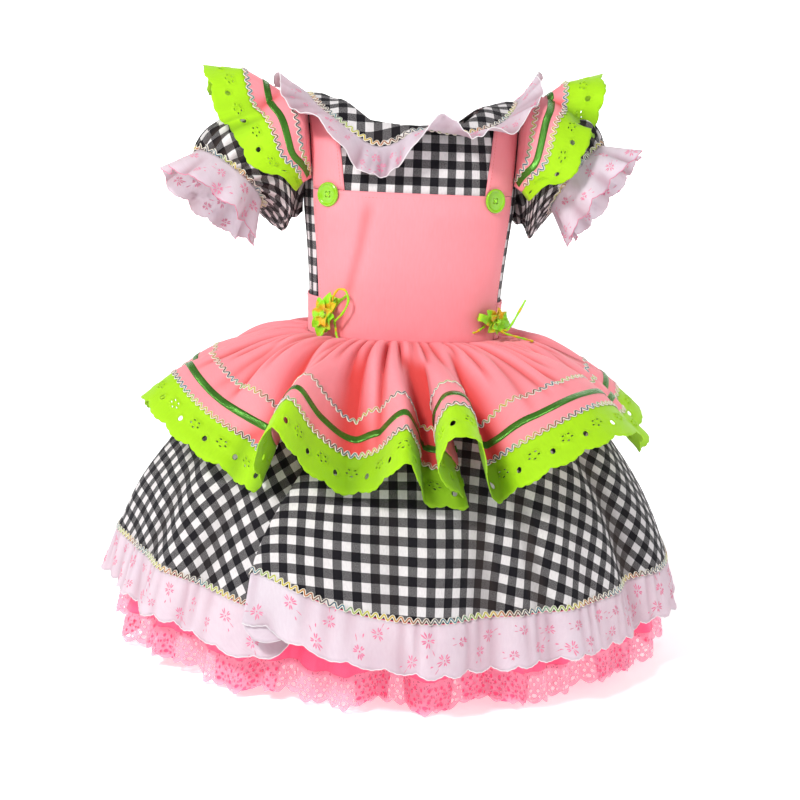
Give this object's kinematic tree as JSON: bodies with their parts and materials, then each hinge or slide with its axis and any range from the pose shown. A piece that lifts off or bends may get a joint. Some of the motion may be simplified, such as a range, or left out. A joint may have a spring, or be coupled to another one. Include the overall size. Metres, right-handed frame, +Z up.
{
  "type": "child's ruffled folk-dance dress",
  "caption": "Child's gingham folk-dance dress with puff sleeves, ruffled collar, pinafore with winged straps, eyelet-edged overskirt and a flared petticoat.",
  "frame": {"origin": "middle of the neck, level with the shoulder seams", "axes": "+X towards the dress's left side, which is the viewer's right from the front; -Y out of the front; +Z up"},
  "size_m": [0.608, 0.598, 0.5935],
  "materials": {
    "gingham": "woven black and white check",
    "salmon_cotton": "plain matte cotton",
    "lime_eyelet": "embroidered eyelet edging",
    "white_lace": "embroidered lawn with pink flowers",
    "pink_tulle": "net and lace",
    "lime_ribbon": "organza and satin ribbon",
    "lime_plastic": "glossy",
    "black_plastic": "glossy"
  },
  "bodies": {
    "root": {"back_button_1": "black_plastic", "back_button_2": "black_plastic", "back_button_3": "black_plastic", "bib": "salmon_cotton", "bodice_back_left": "gingham", "bodice_back_right": "gingham", "bodice_front": "gingham", "button_left": "lime_plastic", "button_right": "lime_plastic", "collar": "gingham", "cuff_ruffle_left": "white_lace", "cuff_ruffle_right": "white_lace", "flower_left": "lime_eyelet", "flower_left_loop_a": "lime_ribbon", "flower_left_loop_b": "lime_ribbon", "flower_right": "lime_eyelet", "flower_right_loop_a": "lime_ribbon", "flower_right_loop_b": "lime_ribbon", "hem_ruffle_back": "white_lace", "hem_ruffle_front": "white_lace", "neck_ruffle": "white_lace", "peplum_back": "salmon_cotton", "peplum_front": "salmon_cotton", "peplum_lace_back": "lime_eyelet", "peplum_lace_front": "lime_eyelet", "petticoat_back": "pink_tulle", "petticoat_front": "pink_tulle", "petticoat_lace_back": "pink_tulle", "petticoat_lace_front": "pink_tulle", "skirt_back": "gingham", "skirt_front": "gingham", "sleeve_left": "gingham", "sleeve_right": "gingham", "strap_left": "salmon_cotton", "strap_right": "salmon_cotton", "waistband_left": "salmon_cotton", "waistband_right": "salmon_cotton", "wing_lace_left": "lime_eyelet", "wing_lace_right": "lime_eyelet", "wing_left": "salmon_cotton", "wing_right": "salmon_cotton"}
  },
  "joints": []
}
